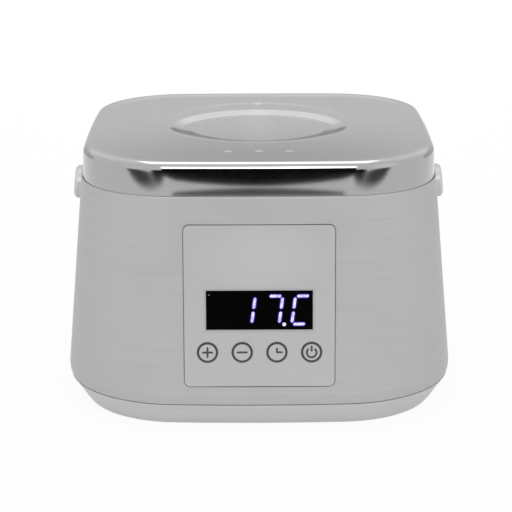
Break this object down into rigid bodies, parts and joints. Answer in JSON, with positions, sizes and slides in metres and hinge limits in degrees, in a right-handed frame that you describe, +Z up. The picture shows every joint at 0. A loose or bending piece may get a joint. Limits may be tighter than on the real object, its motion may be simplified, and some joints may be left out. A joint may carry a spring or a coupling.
{
  "type": "wax warmer",
  "caption": "Square heated wax warmer with a removable round pot, a stamped steel lift-off lid, a display window and round push buttons on the front panel.",
  "frame": {"origin": "on the ground under the middle of the body, at the underside of the rubber feet", "axes": "+Z up, -Y is the front with the control panel, +X to the right as seen from the front"},
  "size_m": [0.194, 0.1946, 0.1306],
  "materials": {
    "housing_silver": "silver metal-look moulding with very fine horizontal brushed lines, satin",
    "lid_steel": "stamped stainless sheet, satin to bright, mirror-like on the turned-down skirt",
    "pot_aluminium": "spun aluminium, fine concentric marks, satin",
    "collar_black": "heat-resistant black moulding, matt",
    "well_aluminium": "drawn aluminium, plain mill finish",
    "heater_steel": "steel sleeve of the heater band, dull",
    "heater_aluminium": "cast aluminium heating plate",
    "insulation_wool": "pressed mineral wool, off-white, fibrous",
    "sensor_ceramic": "glazed white sensor body",
    "fuse_metal": "drawn metal can, satin",
    "clip_steel": "spring steel sheet",
    "screw_steel": "zinc-plated steel",
    "panel_silver": "silver metal-look panel, smooth satin",
    "key_silver": "silver metal-look key cap, smooth satin",
    "window_black": "tinted window, almost black, glossy",
    "module_black": "black component housing, matt",
    "board_green": "green circuit board with solder mask",
    "relay_blue": "blue relay housing",
    "terminal_grey": "grey terminal block",
    "inlet_black": "black mains inlet moulding",
    "pin_brass": "plated brass contact pin",
    "foot_rubber": "black rubber, matt"
  },
  "bodies": {
    "base_unit": {"housing_shell": "housing_silver", "base_tray": "housing_silver", "pot_collar": "collar_black", "heating_well": "well_aluminium", "heater_band": "heater_steel", "heater_band_screw": "screw_steel", "heater_plate": "heater_aluminium", "insulation_sleeve": "insulation_wool", "temperature_sensor": "sensor_ceramic", "thermal_fuse": "fuse_metal", "sensor_clips": "clip_steel", "well_screws": "screw_steel", "control_panel": "panel_silver", "display_window": "window_black", "display_module": "module_black", "tact_switches": "module_black", "display_board": "board_green", "display_board_screws": "screw_steel", "power_board": "board_green", "power_board_screws": "screw_steel", "relay": "relay_blue", "power_capacitor": "fuse_metal", "terminal_block": "terminal_grey", "power_inlet": "inlet_black", "power_inlet_pins": "pin_brass", "lug_left": "housing_silver", "lug_right": "housing_silver", "lug_screws": "screw_steel", "rubber_feet": "foot_rubber", "base_screws": "screw_steel"},
    "pot": {"wax_pot": "pot_aluminium"},
    "lid": {"lid": "lid_steel"},
    "button_plus": {"button_plus": "key_silver"},
    "button_minus": {"button_minus": "key_silver"},
    "button_timer": {"button_timer": "key_silver"},
    "button_power": {"button_power": "key_silver"}
  },
  "joints": [
    {"name": "pot_lift", "type": "slide", "parent": "base_unit", "child": "pot", "axis": [0, 0, 1], "range_m": [0, 0.1]},
    {"name": "lid_lift", "type": "slide", "parent": "pot", "child": "lid", "axis": [0, 0, 1], "range_m": [0, 0.1]},
    {"name": "press_plus", "type": "slide", "parent": "base_unit", "child": "button_plus", "axis": [0, 0.9959, -0.0902], "range_m": [0, 0.0004], "stiffness_N_per_m": 1500},
    {"name": "press_minus", "type": "slide", "parent": "base_unit", "child": "button_minus", "axis": [0, 0.9959, -0.0902], "range_m": [0, 0.0004], "stiffness_N_per_m": 1500},
    {"name": "press_timer", "type": "slide", "parent": "base_unit", "child": "button_timer", "axis": [0, 0.9959, -0.0902], "range_m": [0, 0.0004], "stiffness_N_per_m": 1500},
    {"name": "press_power", "type": "slide", "parent": "base_unit", "child": "button_power", "axis": [0, 0.9959, -0.0902], "range_m": [0, 0.0004], "stiffness_N_per_m": 1500}
  ]
}
